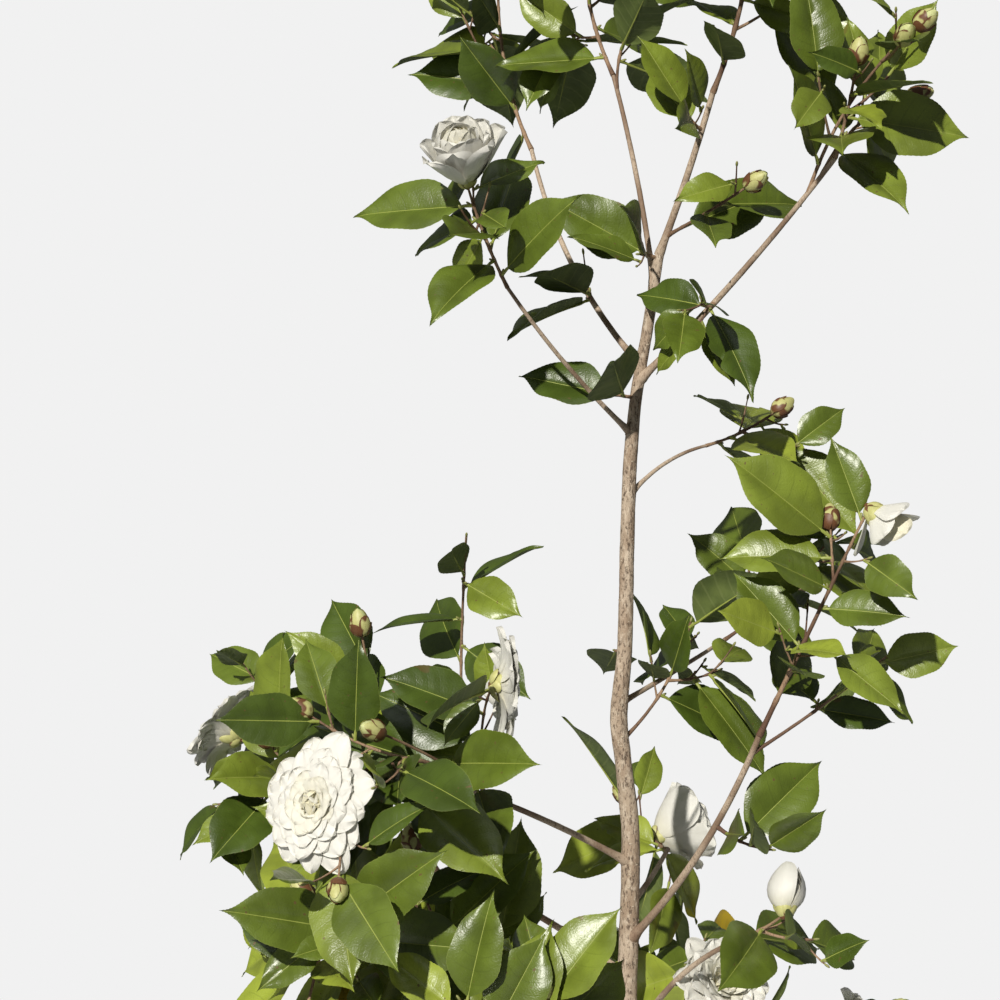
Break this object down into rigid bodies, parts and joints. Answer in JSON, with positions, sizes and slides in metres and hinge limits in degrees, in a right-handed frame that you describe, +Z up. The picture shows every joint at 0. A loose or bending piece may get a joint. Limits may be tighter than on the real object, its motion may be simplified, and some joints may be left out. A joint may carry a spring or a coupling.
{
  "type": "camellia shrub",
  "caption": "Young camellia shrub with a slim leaning trunk, forked boughs and masses of glossy oval leaves with white double blooms and fat buds, rooted in the ground.",
  "frame": {"origin": "middle of the flat cut under the trunk, at ground level", "axes": "+Z up the trunk, the shrub is seen in front view looking along +Y with +X to the right"},
  "size_m": [0.7008, 0.6551, 1.3354],
  "materials": {
    "trunk_bark": "beige-brown bark with fine upright fissures and pale lenticels, matte",
    "bough_bark": "smooth red-brown to tan young bark, matte",
    "foliage": "glossy leathery leaf, lighter midrib and stalk, matte paler underside",
    "petals": "soft matte white petal, creamy towards the heart",
    "buds": "overlapping yellow-green bud scales with brown margins, satin"
  },
  "bodies": {
    "root": {"trunk": "trunk_bark", "leader_left": "bough_bark", "leader_right": "bough_bark", "upper_left": "bough_bark", "upper_right": "bough_bark", "bloom_left": "bough_bark", "right_mid": "bough_bark", "right_tall": "bough_bark", "left_front": "bough_bark", "left_back": "bough_bark", "left_low": "bough_bark", "right_base": "bough_bark", "back_low": "bough_bark", "back_right": "bough_bark", "low_front": "bough_bark", "low_left": "bough_bark", "low_right": "bough_bark", "low_back": "bough_bark", "leader_left_top": "foliage", "leader_right_top": "foliage", "upper_left_top": "foliage", "upper_right_top": "foliage", "upper_right_side": "foliage", "upper_right_high": "foliage", "bloom_left_tip": "foliage", "right_mid_tip": "foliage", "right_twig": "foliage", "right_tall_top": "foliage", "right_tall_side": "foliage", "right_tall_foot": "foliage", "left_front_crown": "foliage", "left_front_twig": "foliage", "left_bud_low": "foliage", "left_back_crown": "foliage", "left_bud_high": "foliage", "left_shoot": "foliage", "left_low_crown": "foliage", "right_base_tip": "foliage", "right_base_foot": "foliage", "back_low_crown": "foliage", "back_right_crown": "foliage", "low_front_crown": "foliage", "low_left_crown": "foliage", "low_right_crown": "foliage", "low_back_crown": "foliage", "trunk_spur": "foliage", "fork_spur": "foliage", "neck_spur": "foliage", "right_spur": "foliage", "left_spur": "foliage", "bud_twig": "foliage", "leader_spur": "foliage", "leader_left_spur": "foliage", "left_low_side": "foliage"}
  },
  "joints": []
}
